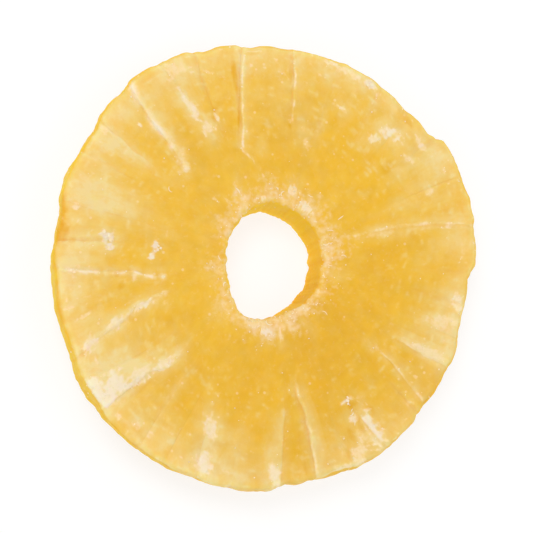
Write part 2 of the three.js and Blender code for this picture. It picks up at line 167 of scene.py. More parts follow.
# marks of dried sugar on the shown face
#   angle, share  where its middle is, degrees, and share of the slice's radius
#   wide, long    half its width, degrees, and half its length, as a share of the radius
#   white, milk   how much sugar lies on it, and how milky the flesh is round it (below 0 a hollow, painted deeper gold as shade)
#   lean          how far its inner end is turned from its middle, degrees
markRows = (
    (116, 0.965, 2.9, 0.045, 0.55, 0.75, 0), (117.0, 0.80, 1.7, 0.090, 0.75, 0.65, -1.0),
    (114.2, 0.66, 2.6, 0.030, 0.62, 0.60, 0), (109.6, 0.69, 0.7, 0.022, 0.70, 0.15, -0.5),
    (134.6, 0.575, 2.4, 0.016, 0.40, 0.30, 0), (144.5, 0.92, 2.2, 0.040, 0.12, 0.45, 0),
    (153, 0.90, 4.0, 0.050, 0, 0.25, 0), (161.3, 0.80, 3.8, 0.140, 0.12, 0.62, 0),
    (166, 0.925, 0.8, 0.018, 0.70, 0.20, 0), (173.9, 0.76, 1.9, 0.028, 1.00, 0.62, 0),
    (177.0, 0.742, 1.7, 0.019, 1.00, 0.30, 0), (172, 0.78, 1.6, 0.012, 0.55, 0.30, 0),
    (174.8, 0.533, 3.0, 0.013, 0.88, 0.25, 0), (179.6, 0.547, 1.6, 0.014, 0.92, 0.15, 0),
    (184.8, 0.90, 1.8, 0.030, 0.40, 0.30, 0), (190, 0.93, 2.0, 0.030, 0.20, 0.30, 0),
    (195.3, 0.95, 0.6, 0.030, 0.50, 0.20, 0), (198.4, 0.88, 0.6, 0.040, 0.55, 0.20, -0.5),
    (206.8, 0.91, 1.5, 0.044, 0.95, 0.55, 0), (204.3, 0.76, 1.7, 0.042, 0.66, 0.55, -0.8),
    (200.9, 0.61, 1.9, 0.054, 1.00, 0.58, -0.8), (202.6, 0.685, 1.0, 0.040, 0.50, 0.40, -0.9),
    (198.4, 0.515, 0.8, 0.014, 0.50, 0.30, 0), (204, 0.515, 1.3, 0.010, 0.40, 0.20, 0),
    (221.0, 0.945, 3.0, 0.060, 1.00, 0.70, 0), (217.6, 0.975, 4.8, 0.038, 0.95, 0.90, 0),
    (220.6, 0.88, 3.2, 0.060, 0.92, 0.80, 0.5), (222.2, 0.78, 2.4, 0.060, 0.74, 0.75, 1),
    (225.4, 0.665, 2.3, 0.060, 0.70, 0.75, 1.2), (218.3, 0.80, 3.2, 0.100, 0.10, 0.60, 2),
    (226.7, 0.97, 1.2, 0.010, 0.60, 0.10, 0), (240, 0.93, 5.0, 0.050, 0.05, 0.25, 0),
    (252.9, 0.925, 2.0, 0.055, 0.85, 0.65, 0), (251.2, 0.775, 2.6, 0.046, 0.70, 0.55, -0.8),
    (252.4, 0.85, 1.6, 0.040, 0.20, 0.45, 0), (272.3, 0.935, 1.7, 0.055, 0.72, 0.55, 0),
    (274.0, 0.78, 0.9, 0.080, 0.12, 0.25, 1.5), (293.5, 0.985, 4.5, 0.020, 0.60, 0.38, 0),
    (297.5, 0.955, 3.0, 0.032, 0.55, 0.40, 0), (292, 0.90, 1.2, 0.050, 0.10, 0.25, 0),
    (303.4, 0.955, 2.0, 0.038, 0.95, 0.60, 0), (303.4, 0.87, 1.8, 0.068, 0.92, 0.60, 0.8),
    (257, 0.955, 4.0, 0.045, 0.10, 0.45, 0), (300.2, 0.90, 2.2, 0.050, 0.34, 0.35, 0),
    (300.0, 0.81, 1.8, 0.020, 0.70, 0.35, 0), (300.3, 0.722, 2.4, 0.008, 0.85, 0.15, 0),
    (304.8, 0.75, 0.9, 0.010, 0.50, 0.15, 0), (332.8, 0.89, 1.5, 0.100, 0.56, 0.65, -0.4),
    (342.2, 0.83, 1.4, 0.050, 0.45, 0.45, 0), (343.0, 0.91, 2.5, 0.075, 0.52, 0.62, -0.6),
    (350.2, 0.955, 2.4, 0.034, 0.70, 0.60, 1), (25.0, 0.86, 1.3, 0.024, 0.55, 0.40, 0),
    (37.5, 0.94, 2.0, 0.016, 0.65, 0.35, 0), (37.2, 0.845, 2.0, 0.016, 0.45, 0.18, 1),
    (46.6, 0.85, 3.0, 0.034, 0.85, 0.50, 2), (49.6, 0.775, 1.8, 0.036, 0.66, 0.45, 1),
    (44, 0.83, 3.5, 0.050, 0.10, 0.15, 0), (60.2, 0.97, 2.2, 0.018, 0.95, 0.40, 0),
    (56.5, 0.95, 0.6, 0.020, 0.50, 0.20, 0), (66.5, 0.966, 6.5, 0.016, 0.60, 0.42, 0),
    (64.0, 0.797, 2.4, 0.011, 0.65, 0.25, 0), (68.8, 0.67, 0.9, 0.050, 0.25, 0.30, 0),
    (71.5, 0.57, 1.5, 0.022, 0.45, 0.25, -0.6), (15.8, 0.58, 1.9, 0.080, 0.34, 0.40, 1),
    (14.2, 0.76, 0.6, 0.120, 0.32, 0.30, 1.0), (13.0, 0.90, 0.8, 0.035, 0.60, 0.30, 0),
    (6.5, 0.97, 2.5, 0.022, 0.30, 0.25, 0), (8, 0.90, 1.8, 0.070, 0.12, 0.30, -1),
    (24.5, 0.74, 1.2, 0.120, 0.08, 0.30, 0), (31, 0.97, 3.5, 0.030, 0.15, 0.40, 0),
    (80.5, 0.65, 1.2, 0.010, 0.50, 0.20, 0), (75, 0.63, 1.4, 0.010, 0.35, 0.20, 0),
    (92, 0.515, 1.6, 0.018, 0.20, 0.30, 0), (188, 0.63, 1.8, 0.012, 0.50, 0.20, 0),
    (191.5, 0.50, 2.0, 0.016, 0.20, 0.08, 0), (166.5, 0.49, 2.4, 0.012, 0.35, 0.25, 0),
    (234.8, 0.72, 0.7, 0.090, 0.22, 0.35, 0), (232, 0.94, 1.2, 0.020, 0.45, 0.25, 0),
    (236.5, 0.935, 1.0, 0.020, 0.45, 0.25, 0), (284.5, 0.77, 1.3, 0.110, 0.18, 0.40, 0),
    (322.5, 0.63, 1.4, 0.020, 0.25, 0.25, 0), (317.5, 0.95, 1.0, 0.050, 0.10, 0.25, 0),
    (180, 0.915, 2.6, 0.070, 0.10, 0.55, 0), (302.6, 0.725, 0.8, 0.014, 0.55, 0.15, 0),
    (350, 0.88, 2.4, 0.050, 0.05, 0.35, -1), (289, 0.97, 2.0, 0.022, 0.40, 0.35, 0),
    (292.5, 0.91, 1.0, 0.040, 0.30, 0.30, 0), (226.8, 0.61, 1.6, 0.045, 0.35, 0.75, 0),
    (99.6, 0.482, 0.9, 0.034, 0.55, 0.20, -2.6), (75.5, 0.62, 4.0, 0.045, 0.03, 0.30, 0),
    (177.6, 0.541, 1.8, 0.011, 0.65, 0.10, 0), (142.3, 0.965, 1.2, 0.026, 0.45, 0.45, 0),
    (142.4, 0.77, 0.7, 0.100, 0.20, 0.35, 0), (134.3, 0.855, 0.5, 0.010, 0.75, 0.15, 0),
    (261, 0.82, 1.8, 0.050, 0.15, 0.40, 0), (135, 0.975, 3.0, 0.030, 0.10, 0.42, 0),
    (85.5, 0.74, 3.0, 0.070, 0, 0.24, 0), (165, 0.58, 3.0, 0.040, 0.05, 0.24, 0),
    (219, 0.58, 3.0, 0.040, 0, 0.28, 0), (305.6, 0.905, 0.5, 0.045, 0.45, 0.20, 0.5),
    (298.8, 0.925, 0.6, 0.030, 0.60, 0.20, 0), (309, 0.975, 3.0, 0.025, 0.15, 0.38, 0),
    (279, 0.97, 3.0, 0.030, 0.05, 0.28, 0), (351, 0.335, 4.0, 0.030, 0.12, 0.28, 0),
    (303, 0.335, 4.0, 0.030, 0.08, 0.28, 0),
    # hollows, painted deeper gold: painted shade in the dips
    (39, 0.735, 2.4, 0.030, 0, -0.20, 0), (99.9, 0.855, 0.8, 0.070, 0, -0.60, 0.3),
    (100.9, 0.68, 0.4, 0.070, 0, -0.45, 1.2), (82.6, 0.87, 0.6, 0.050, 0, -0.50, -0.4),
    (82.6, 0.945, 0.9, 0.014, 0, -0.50, 0), (109.2, 0.725, 0.8, 0.012, 0, -0.40, 0),
    (111.0, 0.690, 0.8, 0.012, 0, -0.45, 0), (176.1, 0.90, 0.5, 0.055, 0, -0.32, 0),
    (192, 1.0, 10, 0.024, 0, -0.50, 0), (169, 0.99, 5.0, 0.028, 0, -0.75, 0),
    (174.2, 0.975, 3.6, 0.036, 0, -0.85, 0), (182, 1.0, 7.0, 0.024, 0, -0.45, 0),
    (187.2, 0.71, 1.0, 0.010, 0, -0.40, 0), (191.8, 0.70, 1.1, 0.012, 0, -0.25, 0),
    (207.8, 0.955, 1.2, 0.012, 0, -0.50, 0), (204.5, 0.69, 1.2, 0.012, 0, -0.40, 0),
    (301.6, 0.755, 1.6, 0.012, 0, -0.35, 0), (300.8, 0.86, 0.8, 0.035, 0, -0.40, 0),
    (297, 0.87, 0.9, 0.030, 0, -0.30, 0), (281, 0.93, 0.5, 0.030, 0, -0.25, 0),
    (306, 0.83, 1.2, 0.025, 0, -0.35, 0), (69.5, 0.70, 0.9, 0.016, 0, -0.40, 0),
    (80.4, 0.625, 0.9, 0.008, 0, -0.45, 0), (225.8, 0.83, 0.9, 0.080, 0, -0.40, 0.8),
    (45, 0.955, 1.4, 0.010, 0, -0.40, 0), (254, 0.835, 1.5, 0.012, 0, -0.25, 0),
    # and the crust round the hole
    (55, 0.316, 6.0, 0.022, 0.75, 0.38, 0), (70, 0.345, 4.0, 0.026, 0.65, 0.34, 0),
    (29.5, 0.333, 2.0, 0.014, 0.45, 0.20, 0), (14.5, 0.268, 6.5, 0.012, 0.42, 0.20, 0),
    (92.5, 0.288, 2.5, 0.012, 0.60, 0.30, 0), (93, 0.388, 3.0, 0.007, 0.50, 0.10, 0),
    (113.5, 0.350, 1.4, 0.045, 0.40, 0.20, 2), (111, 0.305, 5.0, 0.014, 0.40, 0.25, 0),
    (124, 0.330, 1.0, 0.025, 0.35, 0.10, -1), (131, 0.376, 1.4, 0.008, 0.40, 0.10, 0),
    (143, 0.275, 7.0, 0.018, 0.10, 0.10, 0), (196, 0.255, 7.0, 0.010, 0.20, 0.15, 0),
    (226, 0.300, 8.0, 0.020, 0.20, 0.25, 0), (269.5, 0.312, 4.0, 0.016, 0.85, 0.35, 0),
    (280.5, 0.336, 2.4, 0.026, 0.60, 0.32, 0), (258, 0.288, 9.0, 0.014, 0.35, 0.30, 0),
    (286, 0.300, 6.0, 0.012, 0.35, 0.25, 0), (311.5, 0.287, 2.5, 0.007, 0.55, 0.15, 0),
    (331.5, 0.280, 2.5, 0.009, 0.45, 0.20, 0), (348.5, 0.280, 2.5, 0.009, 0.45, 0.20, 0),
)
# the frayed edge of the big fruitlet's crust: specks in a row, each one a mark
edgeSpecks = {"from": (222.6, 0.86), "to": (226.8, 0.64), "count": 11, "look": (1.2, 0.008, 0.90, 0.20, 0)}
for share in np.linspace(0, 1, edgeSpecks["count"]):
    (angle, reached), (lastAngle, lastReached) = edgeSpecks["from"], edgeSpecks["to"]
    markRows += ((angle + (lastAngle - angle) * share, reached + (lastReached - reached) * share,
                  *edgeSpecks["look"]),)


def seamPlaces(share):              # angle of every seam at a share of the flesh
    share = np.asarray(share)[..., None]
    swing = smooth((seams["curlAt"] + 0.06 - share) / 0.12)
    return seams["at"] + seams["bend"] * 0.75 * (1 - share ** 2) + seams["curl"] * swing


def fruitlets(turn):
    # turn is the angle as it is at the edge: the fruitlet it falls in, and the share of the way across it
    start = seams["at"]
    turned = np.mod(turn - start[0], 360) + start[0]
    before = np.searchsorted(start, turned, side="right") - 1
    after = (before + 1) % seamCount
    width = np.mod(start[after] - start[before], 360)
    return before, after, (turned - start[before]) / width, width


def angleAt(turn, share):           # follow a seam's bend inwards
    before, after, across, _ = fruitlets(turn)
    places = seamPlaces(share)
    first = np.take_along_axis(places, before[..., None], -1)[..., 0]
    second = np.take_along_axis(places, after[..., None], -1)[..., 0]
    return first + across * np.mod(second - first, 360)


def stepped(turn, key, blendWidth):     # a value of each fruitlet, giving way to the next at the seam
    before, after, across, width = fruitlets(turn)
    value = seams[key]
    own, earlier, later = value[before], value[before - 1], value[after]
    fromSeam, toSeam = across * width / blendWidth, (1 - across) * width / blendWidth
    start = (own + earlier) / 2 + (own - earlier) / 2 * smooth(fromSeam)
    end = (own + later) / 2 + (own - later) / 2 * smooth(toSeam)
    return np.where(fromSeam < toSeam, start, end)


def ovalRadius(angle):
    turned = np.radians(angle - slice_["longAt"])
    return 0.5 / np.hypot(np.cos(turned) / slice_["long"], np.sin(turned) / slice_["short"])


def outerRadius(turn):
    _, _, across, _ = fruitlets(turn)
    swell = slice_["swell"] * np.sin(np.pi * across)
    ragged = 0.10 * loopNoise(turn, 0 * turn, 110, 1, 3) + 0.06 * loopNoise(turn, 0 * turn, 330, 1, 4)
    return ovalRadius(turn) + stepped(turn, "out", slice_["outlineBlend"]) + swell + ragged


def holeRadius(angle):
    radius = slice_["holeMean"] + 0 * angle
    for crests, height, crestAt in slice_["holeWaves"]:
        radius += height * np.cos(np.radians(crests * (angle - crestAt)))
    radius += 0.16 * loopNoise(angle, 0 * angle, 44, 1, 5)
    return radius + 0.07 * loopNoise(angle, 0 * angle, 130, 1, 6)


def placesAt(places, angle):        # a list of places like holeFlares, each one fading to its two sides
    return sum(much * bell(angleBetween(angle, middle) / half) for middle, half, much in places)


def selectBy(piece, chosen):        # leaves edit mode on, with the chosen vertices selected
    bpy.ops.object.select_all(action="DESELECT")
    piece.select_set(True)
    bpy.context.view_layer.objects.active = piece
    bpy.ops.object.mode_set(mode="EDIT")
    bpy.ops.mesh.select_mode(type="VERT")
    bpy.ops.mesh.select_all(action="DESELECT")
    bpy.ops.object.mode_set(mode="OBJECT")
    for v in piece.data.vertices:
        v.select = chosen(v)
    bpy.ops.object.mode_set(mode="EDIT")


def addSection():
    # the cross-section as a face, with its corners rounded and its sides cut up for the relief
    hole = slice_["holeMean"]
    outer = (slice_["long"] + slice_["short"]) / 4
    thick = slice_["thick"]
    bpy.ops.object.select_all(action="DESELECT")
    bpy.ops.mesh.primitive_plane_add(size=1, location=((hole + outer) / 2 * mm, 0, thick / 2 * mm),
                                     rotation=(math.pi / 2, 0, 0))
    ring = bpy.context.object
    ring.name = "ring_flesh"
    bpy.ops.object.transform_apply(location=True, rotation=True, scale=True)
    for v in ring.data.vertices:    # the unit square takes the section's width and height
        v.co.x = (hole if v.co.x < (hole + outer) / 2 * mm else outer) * mm
        v.co.z = (0 if v.co.z < thick / 2 * mm else thick) * mm
    corners = (
        ((outer, thick), slice_["topRound"]), ((outer, 0), slice_["bottomRound"]),
        ((hole, thick), slice_["holeTopRound"]), ((hole, 0), slice_["holeBottomRound"]),
    )
    for (r, z), radius in corners:
        selectBy(ring, lambda v, r=r, z=z: math.hypot(v.co.x - r * mm, v.co.z - z * mm) < 1e-6)
        bpy.ops.mesh.bevel(offset=radius * mm, offset_type="OFFSET", segments=slice_["roundCuts"] + 1,
                           profile=0.5, affect="VERTICES")
        bpy.ops.object.mode_set(mode="OBJECT")
    sides = (
        (lambda v: abs(v.co.z - thick * mm) < 1e-7, slice_["topCuts"]),
        (lambda v: abs(v.co.z) < 1e-7, slice_["underCuts"]),
        (lambda v: abs(v.co.x - outer * mm) < 1e-7, slice_["wallCuts"]),
        (lambda v: abs(v.co.x - hole * mm) < 1e-7, slice_["wallCuts"]),
    )
    for chosen, cuts in sides:
        selectBy(ring, chosen)
        bpy.ops.mesh.subdivide(number_cuts=cuts)
        bpy.ops.object.mode_set(mode="OBJECT")
    return ring, hole, outer


def spinSection(ring):
    selectBy(ring, lambda v: True)
    bpy.ops.mesh.delete(type="ONLY_FACE")
    bpy.ops.mesh.select_all(action="SELECT")
    bpy.ops.mesh.spin(steps=slice_["turnSteps"], angle=2 * math.pi, center=(0, 0, 0), axis=(0, 0, 1))
    bpy.ops.mesh.select_all(action="SELECT")
    bpy.ops.mesh.remove_doubles(threshold=1e-6)
    bpy.ops.mesh.normals_make_consistent(inside=False)
    bpy.ops.object.mode_set(mode="OBJECT")
    bpy.ops.object.shade_smooth()


def crowded(angle):
    # shift evenly spaced cross-sections so that they crowd round the seams
    fine = np.linspace(0, 360, 7201)
    away = np.abs(angleBetween(fine[:, None], seams["at"])).min(1)
    weight = 1 + 2.0 * bell(away / 0.8)
    total = np.concatenate(([0], np.cumsum((weight[1:] + weight[:-1]) / 2)))
    return np.interp(np.mod(angle, 360), total / total[-1] * 360, fine)


def seamShapes(turn, angle, share, radius):
    # for each point: the nearer seam, the distance past it in mm, and how much of the seam is left there
    before, after, across, _ = fruitlets(turn)
    nearer = np.where(across < 0.5, before, after)
    place = np.take_along_axis(seamPlaces(share), nearer[..., None], -1)[..., 0]
    wobble = 0.20 * loopNoise(angle, share, 34, 12, 11) + 0.09 * loopNoise(angle, share, 60, 40, 12)
    distance = np.radians(angleBetween(angle, place)) * radius + wobble
    left = smooth((share - seams["inner"][nearer]) / 0.22)
    return nearer, distance, left, across


def shapeRing(ring, holeSide, outerSide):
    mesh = ring.data
    co = np.empty(len(mesh.vertices) * 3)
    mesh.vertices.foreach_get("co", co)
    x, y, z = co.reshape(-1, 3).T / mm
    turn = crowded(np.degrees(np.arctan2(y, x)))
    share = (np.hypot(x, y) - holeSide) / (outerSide - holeSide)
    inside = np.clip(share, 0, 1)
    level = z / slice_["thick"]
    angle = angleAt(turn, inside)
    hole, outer = holeRadius(angle), outerRadius(turn)
    radius = hole + (outer - hole) * share
    nearer, distance, left, across = seamShapes(turn, angle, inside, radius)
    top = smooth((level - 0.35) / 0.6)
    under = 1 - smooth(level / 0.5)
    wallOut = smooth((share - 0.93) / 0.07)
    wallIn = 1 - smooth(share / 0.04)

    # the shown face
    side = seams["side"][nearer]
    groove = seams["groove"][nearer] * left * bell((distance + 0.25 * side) / 0.42)
    lip = seams["lip"][nearer] * left * bell((distance - 0.30 * side) / 0.30)
    zone = smooth((share - 0.25) / 0.6)
    tilted = stepped(turn, "lift", 1.5) + stepped(turn, "tilt", 1.5) * (across - 0.2)
    fibres = 0.026 * loopNoise(angle, share, 210, 7, 21) + 0.016 * loopNoise(angle, share, 430, 12, 22)
    lumps = 0.11 * loopNoise(angle, share, 26, 4, 23) + 0.035 * loopNoise(angle, share, 70, 12, 24)
    pits = 0.016 * loopNoise(angle, share, 460, 58, 25) + 0.02 * loopNoise(angle, share, 180, 40, 26)
    roll = 0.16 * np.sin(np.radians(2 * angle + 40)) + 0.1 * np.sin(np.radians(5 * angle - 30))
    slope = -0.25 * smooth((share - 0.6) / 0.4) - 0.12 * (1 - smooth(share / 0.16))
    crown = slice_["crown"] * np.sin(np.pi * across) * zone
    relief = crown + tilted * smooth((share - 0.3) / 0.6) + lip - groove
    relief += fibres * (0.35 + zone) + lumps + pits + roll * share + slope

    # the underside, which only rises off its flat band
    offRest = smooth((share - slice_["restBand"][1]) / 0.1) + smooth((slice_["restBand"][0] - share) / 0.1)
    dents = 0.25 * smooth(loopNoise(turn, share, 60, 9, 31) * 1.6 - 0.5)
    dents += 0.10 * smooth(loopNoise(turn, share, 220, 6, 32))
    hidden = (groove * 0.7 + 0.15 * (1 - np.sin(np.pi * across))) * offRest + dents + groove * 0.5

    # the walls
    lean = 0.15 + 0.3 * loopNoise(turn, level, 20, 2, 41) - placesAt(slice_["undercuts"], angle)
    wallLumps = 0.26 * loopNoise(turn, level, 46, 4, 42) + 0.12 * loopNoise(turn, level, 130, 9, 43)
    wallSeam = 0.4 * seams["groove"][nearer] * bell(distance / 0.7)
    belly = lean * (1 - level) + slice_["wallBulge"] * np.sin(np.pi * level) + wallLumps - wallSeam
    holeLumps = 0.14 * loopNoise(angle, level, 40, 3, 44) + 0.06 * loopNoise(angle, level, 140, 6, 45)
    radius = radius + belly * wallOut * smooth((1.02 - level) / 0.14) + holeLumps * wallIn
    flare = placesAt(slice_["holeFlares"], angle)
    radius += flare * smooth(level) * (1 - smooth((outer - hole) * share / slice_["flareWidth"]))

    shift = 1 - smooth((radius - hole) / (outer - hole))
    px = radius * np.cos(np.radians(angle)) + slice_["holeOffset"][0] * shift
    py = radius * np.sin(np.radians(angle)) + slice_["holeOffset"][1] * shift
    pz = np.maximum(z + relief * top + np.abs(hidden) * under, 0)
    around = np.degrees(np.arctan2(py, px))
    middle = [(v.min() + v.max()) / 2 - (nodeLow + nodeHigh)[k] / 2 / mm for k, v in enumerate((px, py))]
    mesh.vertices.foreach_set("co", (np.stack((px - middle[0], py - middle[1], pz), 1) * mm).ravel())
    mesh.update()
    return {"turn": turn, "angle": angle, "share": inside, "level": level,
            "nearer": nearer, "distance": distance, "left": left, "groove": groove,
            "top": top, "under": under, "wallOut": wallOut, "wallIn": wallIn,
            "around": around, "reached": np.hypot(px, py) / ovalRadius(around),
            "fromHole": inside * (outer - hole) + 0.4 * flare, "middle": middle}


painting = {                        # lists are places like holeFlares: middle, half width, how much
    "faceFrom": 0.94, "faceRunsDown": ((270, 32, 0.09),),       # share of the thickness where the face begins
    # painted shade: dull is an even dullness, and the face is painted duller towards the lower right, away
    # from the light, and at its right-hand edge, which turns away from it
    "dull": 0.22, "shadedSide": ((292, 50, 0.36),), "shadedEdge": ((331, 44, 0.35),),
    "crust": 0.64, "crustGaps": ((336, 30, 0.30), (155, 36, 0.24)),
    "crustReach": 6.3, "crustFurther": 1.8, "crustSide": 25,    # mm, and which side it reaches further on
    "deepWall": 0.62, "paleWall": ((180, 40, 0.34),),
    # painted shade on the hole's wall towards the lower right: deeper and duller gold there
    "deepHole": 0.08, "deepInShade": 0.34, "dullInShade": 0.8, "holeInShade": ((326, 54, 1.0),),
    # painted shade along the rounded top of the outer wall: deeper gold where the rounding catches the light,
    # more at the lower left
    "rimShade": 0.10, "moreRimShade": ((250, 36, 0.34),),
}


def paintRing(ring, at):
    # where the flesh is milky, frosted, crusted, deeper or duller, kept on the mesh for the material to read;
    # deeper and duller are partly painted shade, and milky holds a faint painted highlight
    turn, share, angle, level = at["turn"], at["share"], at["angle"], at["level"]
    nearer, distance = at["nearer"], at["distance"]
    faceFrom = painting["faceFrom"] - placesAt(painting["faceRunsDown"], angle)
    face = smooth((level - faceFrom) / 0.05)
    streak = 0.30 * loopNoise(angle, share, 120, 3, 51) + 0.20 * loopNoise(angle, share, 300, 5, 52)
    cloud = loopNoise(angle, share, 30, 5, 53) + 0.7 * loopNoise(angle, share, 90, 14, 54)
    blotch = loopNoise(angle, share, 110, 46, 61) + 0.7 * loopNoise(angle, share, 230, 58, 62)
    flecks = smooth(blotch * 1.7 - 0.95) * smooth((share - 0.25) / 0.3)     # short cream strokes
    crisp = loopNoise(angle, share, 190, 64, 68) + 0.6 * loopNoise(angle, share, 330, 90, 69)
    crisp = smooth(crisp * 1.7 - 1.05 + 0.3 * loopNoise(angle, share, 26, 8, 70))   # and whiter ones, few

    reach = stepped(turn, "reach", 3.5)
    inwards = smooth((share - (1 - reach) + 0.10 * streak + 0.08 * cloud) / 0.50)
    bands = 0.5 * loopNoise(angle, share, 40, 2, 64) + 0.5 * loopNoise(angle, share, 17, 2, 65)
    milkyAndLit = stepped(turn, "pale", 4.0) * inwards * (1 + 0.42 * streak + 0.16 * cloud + 0.40 * bands)
    glow = seams["glow"][nearer]
    spread = np.where(np.sign(glow) == np.sign(distance), 1, 0) * np.abs(glow) * at["left"]
    milkyAndLit += 0.8 * spread * bell(np.abs(distance) / 2.2)
    # paler towards the upper left, where the light comes from, as a painted highlight; and paler towards the
    # edge, with cream strokes
    milkyAndLit += 0.05 * np.cos(np.radians(angle - 150)) + 0.05 * smooth((share - 0.3) / 0.5) + 0.36 * flecks

    # sugar along the seams, then the marks, whose edges fray along the fibres
    line = seams["white"][nearer] * smooth((share - seams["inner"][nearer]) / 0.06)
    width = seams["wide"][nearer] * (0.85 + 0.5 * loopNoise(angle, share, 60, 16, 56))
    broken = np.clip(0.72 + 0.65 * loopNoise(angle, share, 90, 26, 55), 0, 1.1)
    sugar = 0.9 * line * broken * bell((distance - 0.18 * seams["side"][nearer]) / (1.15 * width))
    frayed = 0.50 * loopNoise(angle, share, 260, 16, 57) + 0.50 * loopNoise(angle, share, 300, 74, 58)
    frayed += 0.35 * loopNoise(angle, share, 480, 60, 67)
    soft, hollowShade = 0 * milkyAndLit, 0 * milkyAndLit
    for place, middle, wide, length, white, milk, lean in markRows:
        along = (at["reached"] - middle) / length
        off = angleBetween(at["around"] + lean * along, place)
        shape = bell(np.hypot(off / wide, along) * 0.9)
        patch = (0.88 + 0.22 * frayed) * smooth((shape + 0.50 * frayed - 0.16) / 0.60)
        sugar = np.maximum(sugar, white * patch * smooth(shape * 5))
        wider = np.hypot(off / (wide + 0.9), along * length / (length + 0.02))
        soft = np.maximum(soft, milk * bell(wider * 0.75))
        hollowShade = np.maximum(hollowShade, -milk * smooth((shape + 0.25 * frayed - 0.10) / 0.70))
    # the hollows hold painted shade, deeper gold in the dips
    hollowShade *= 0.18 + 0.82 * smooth((level - 0.62) / 0.30)       # down the wall it fades
    soft = np.maximum(soft, 0.55 * line * broken * bell(distance / 1.1))
    sugar = np.maximum(sugar, crisp * (0.22 + 0.30 * smooth((share - 0.72) / 0.2)))
    milkyAndLit = milkyAndLit + 1.1 * soft * (1 - 0.5 * np.clip(milkyAndLit, 0, 1)) * (1 + 0.40 * streak) - 0.5 * hollowShade
    darker = np.clip(-milkyAndLit, 0, 1)
    # shade: random mottling, with painted shade on the lower right, away from the light, and at the
    # right-hand edge
    shade = painting["dull"] + placesAt(painting["shadedSide"], angle) + 0.40 * bands + 0.30 * streak
    shade += 0.12 * cloud + 0.22 * loopNoise(angle, share, 100, 30, 66) - 0.5 * milkyAndLit
    shade += placesAt(painting["shadedEdge"], angle) * smooth((share - 0.92) / 0.06)
    milkyAndLit = np.clip(milkyAndLit, 0, 1) * (0.08 + 0.92 * face)
    sugar = np.clip(sugar, 0, 1) * face * (1 - hollowShade) * (1 - 0.7 * smooth(at["groove"] / 0.10))

    # the crust round the hole
    weight = painting["crust"] + 0.08 * np.cos(np.radians(angle - 5))
    weight += 0.22 * loopNoise(angle, 0 * angle, 17, 1, 59) - placesAt(painting["crustGaps"], angle)
    further = painting["crustFurther"] * np.cos(np.radians(angle - painting["crustSide"]))
    ragged = 1.6 * loopNoise(angle, share, 40, 9, 60) + 1.3 * loopNoise(angle, share, 90, 30, 63)
    reaching = painting["crustReach"] + further
    crust = smooth(1 + (0.5 + ragged - at["fromHole"]) / reaching) * np.clip(weight, 0.15, 1)
    crust = np.clip(crust, 0, 1) * smooth((level - 0.90) / 0.08)

    wall = smooth((at["wallOut"] + at["wallIn"]) * (1 - face))
    # deeper gold: painted shade in the grooves, hollows and along the rounded top edge, painted shade on the
    # hole's wall at its lower right, and the walls' own deeper colour
    deepAndShade = 1.1 * at["groove"] * face * (1 - sugar) + 2.0 * darker + 0.7 * hollowShade
    deepWall = painting["deepWall"] - placesAt(painting["paleWall"], angle)
    # painted shade on the hole's wall towards the lower right
    holeShadeSide = placesAt(painting["holeInShade"], angle)
    # painted shade along the rounded top edge
    rimShade = painting["rimShade"] + placesAt(painting["moreRimShade"], angle)
    deepAndShade += rimShade * bell((level - faceFrom - 0.03) / 0.04) * smooth((share - 0.90) / 0.05)
    deepHole = painting["deepHole"] + painting["deepInShade"] * holeShadeSide
    deepAndShade += (deepWall * at["wallOut"] + deepHole * at["wallIn"]) * (1 - face)
    shade = np.clip(shade, 0, 1) * (1 - sugar) * face
    shade += painting["dullInShade"] * at["wallIn"] * (1 - face) * holeShadeSide
    tone = 0.5 + 0.10 * cloud + 0.14 * streak + 0.06 * blotch
    grain = np.stack((np.cos(np.radians(turn)), np.sin(np.radians(turn)), share * 0.35 + level * 0.2), 1)
    fields = {"milkyAndLit": milkyAndLit, "sugar": sugar, "crust": crust, "wall": wall,
              "deepAndShade": np.clip(deepAndShade, 0, 1), "tone": tone, "shade": shade}
    for name, values in fields.items():
        field = ring.data.attributes.new(name, "FLOAT", "POINT")
        field.data.foreach_set("value", values.astype(np.float32))
    vectors = ring.data.attributes.new("grain", "FLOAT_VECTOR", "POINT")
    vectors.data.foreach_set("vector", grain.astype(np.float32).ravel())
    return {"sugar": sugar, "crust": crust}


# materials

fleshLook = {
    # amber is the walls' deeper colour and painted shade; the shade attribute multiplies the colour by the
    # tint below, for random mottling and painted shade
    "gold": fromSrgb(243, 200, 74), "honey": fromSrgb(239, 190, 56), "amber": fromSrgb(230, 164, 30),
    "rind": fromSrgb(255, 210, 57), "milk": fromSrgb(241, 219, 157), "frost": fromSrgb(255, 232, 206),
    "cream": fromSrgb(254, 229, 194), "rim": fromSrgb(247, 220, 178),
    "mottleAndShadeTint": (0.89, 0.84, 0.74, 1),                    # what shade multiplies the colour by
    "scatter": 1.0, "scatterDepth": 2.6 * mm, "scatterSpread": (1.0, 0.82, 0.40),
    "rough": 0.38, "wallRougher": 0.40, "sugarRougher": 0.22,
    "gloss": 0.20, "glossTint": (1.0, 0.86, 0.52, 1), "ior": 1.42,
    "bump": 0.45, "bumpHeight": 0.13 * mm,
    "dust": 1900, "grit": 1100, "mottle": 420, "fibres": 46, "specks": 620,     # scales of the noises
}
sugarLook = {"dull": fromSrgb(254, 229, 184), "bright": fromSrgb(255, 239, 210), "rough": 0.5, "ior": 1.5}


